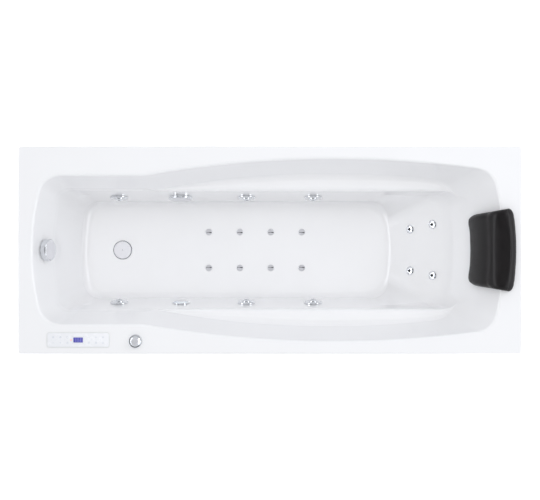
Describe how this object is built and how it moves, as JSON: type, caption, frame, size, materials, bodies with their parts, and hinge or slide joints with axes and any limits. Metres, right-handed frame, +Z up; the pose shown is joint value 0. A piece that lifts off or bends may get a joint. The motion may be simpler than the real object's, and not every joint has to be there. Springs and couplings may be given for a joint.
{
  "type": "jetted bathtub",
  "caption": "Rectangular drop-in bathtub with water and air jets: moulded shell with armrest ledges, side, floor and back jets, rim controls, head cushion, pump and blower on a steel frame.",
  "frame": {"origin": "middle of the footprint, on the floor under the levelling feet", "axes": "+X along the tub to the head end with the cushion, -X to the foot end with the drain, +Y to the back wall side, +Z up"},
  "size_m": [1.7, 0.7, 0.6267],
  "materials": {
    "acrylic": "polished",
    "board": "raw",
    "frame_steel": "satin",
    "zinc_steel": "satin",
    "chrome_trim": "polished",
    "pipe_plastic": "matte",
    "light_lens": "polished",
    "black_plastic": "matte",
    "cable_rubber": "matte",
    "white_plastic": "satin",
    "display_glass": "polished",
    "black_foam": "satin",
    "motor_paint": "satin",
    "rotor_steel": "satin"
  },
  "bodies": {
    "tub": {"tub_shell": "acrylic", "base_board": "board", "support_frame": "frame_steel", "side_jet_rings": "chrome_trim", "side_jet_bodies": "pipe_plastic", "pressure_pipes": "pipe_plastic", "venturi_air_pipes": "pipe_plastic", "suction_grille": "chrome_trim", "suction_pipe": "pipe_plastic", "light_body": "chrome_trim", "light_lens": "light_lens", "floor_jet_caps": "chrome_trim", "floor_air_header": "pipe_plastic", "blower_lid": "black_plastic", "back_jet_faces": "chrome_trim", "drain_flange": "chrome_trim", "waste_pipes": "black_plastic", "overflow_plate": "chrome_trim", "plug_cable": "cable_rubber", "keypad_housing": "white_plastic", "keypad_film": "white_plastic", "display_window": "display_glass", "air_control_body": "chrome_trim", "motor_body": "motor_paint", "fan_cowl": "black_plastic", "control_box": "white_plastic", "control_box_lid": "white_plastic", "control_cables": "cable_rubber"},
    "foot_1": {"levelling_foot_1": "zinc_steel"},
    "foot_2": {"levelling_foot_2": "zinc_steel"},
    "foot_3": {"levelling_foot_3": "zinc_steel"},
    "foot_4": {"levelling_foot_4": "zinc_steel"},
    "nozzle_1": {"side_jet_nozzle_1": "chrome_trim"},
    "nozzle_2": {"side_jet_nozzle_2": "chrome_trim"},
    "nozzle_3": {"side_jet_nozzle_3": "chrome_trim"},
    "nozzle_4": {"side_jet_nozzle_4": "chrome_trim"},
    "nozzle_5": {"side_jet_nozzle_5": "chrome_trim"},
    "nozzle_6": {"side_jet_nozzle_6": "chrome_trim"},
    "blower_wheel": {"blower_fan": "black_plastic"},
    "rotor": {"pump_rotor": "rotor_steel"},
    "overflow_control": {"overflow_knob": "chrome_trim"},
    "plug": {"drain_plug": "chrome_trim"},
    "air_control": {"air_knob": "chrome_trim"},
    "cushion": {"pillow": "black_foam", "pillow_pins": "black_plastic"}
  },
  "joints": [
    {"name": "foot_1_screw", "type": "slide", "parent": "tub", "child": "foot_1", "axis": [0, 0, 1], "range_m": [-0.03, 0.004]},
    {"name": "foot_2_screw", "type": "slide", "parent": "tub", "child": "foot_2", "axis": [0, 0, 1], "range_m": [-0.03, 0.004]},
    {"name": "foot_3_screw", "type": "slide", "parent": "tub", "child": "foot_3", "axis": [0, 0, 1], "range_m": [-0.03, 0.004]},
    {"name": "foot_4_screw", "type": "slide", "parent": "tub", "child": "foot_4", "axis": [0, 0, 1], "range_m": [-0.03, 0.004]},
    {"name": "jet_1_swivel", "type": "hinge", "parent": "tub", "child": "nozzle_1", "pos_m": [-0.549, 0.19015, 0.31049], "axis": [0, 0, 1], "range_deg": [-15, 15]},
    {"name": "jet_2_swivel", "type": "hinge", "parent": "tub", "child": "nozzle_2", "pos_m": [-0.086, 0.19015, 0.31049], "axis": [0, 0, 1], "range_deg": [-15, 15]},
    {"name": "jet_3_swivel", "type": "hinge", "parent": "tub", "child": "nozzle_3", "pos_m": [0.157, 0.19015, 0.31049], "axis": [0, 0, 1], "range_deg": [-15, 15]},
    {"name": "jet_4_swivel", "type": "hinge", "parent": "tub", "child": "nozzle_4", "pos_m": [-0.549, -0.19015, 0.31049], "axis": [0, 0, 1], "range_deg": [-15, 15]},
    {"name": "jet_5_swivel", "type": "hinge", "parent": "tub", "child": "nozzle_5", "pos_m": [-0.086, -0.19015, 0.31049], "axis": [0, 0, 1], "range_deg": [-15, 15]},
    {"name": "jet_6_swivel", "type": "hinge", "parent": "tub", "child": "nozzle_6", "pos_m": [0.157, -0.19015, 0.31049], "axis": [0, 0, 1], "range_deg": [-15, 15]},
    {"name": "blower_spin", "type": "hinge", "parent": "tub", "child": "blower_wheel", "pos_m": [0.37, -0.258, 0.2], "axis": [0, 0, 1], "continuous": true},
    {"name": "pump_spin", "type": "hinge", "parent": "tub", "child": "rotor", "pos_m": [0.716, 0.134, 0.228], "axis": [0, 1, 0], "continuous": true},
    {"name": "overflow_turn", "type": "hinge", "parent": "tub", "child": "overflow_control", "pos_m": [-0.77854, 0, 0.51], "axis": [0.9563, 0, 0.2924], "range_deg": [0, 90]},
    {"name": "plug_lift", "type": "slide", "parent": "tub", "child": "plug", "axis": [0, 0, 1], "range_m": [0, 0.01]},
    {"name": "air_turn", "type": "hinge", "parent": "tub", "child": "air_control", "pos_m": [-0.4536, -0.3075, 0.59], "axis": [0, 0, 1], "range_deg": [0, 180]},
    {"name": "pillow_lift", "type": "slide", "parent": "tub", "child": "cushion", "axis": [0, 0, 1], "range_m": [0, 0.05]}
  ],
  "couplings": [
    {"joint": "plug_lift", "follows": "overflow_turn", "m_per_rad": 0.006366}
  ]
}
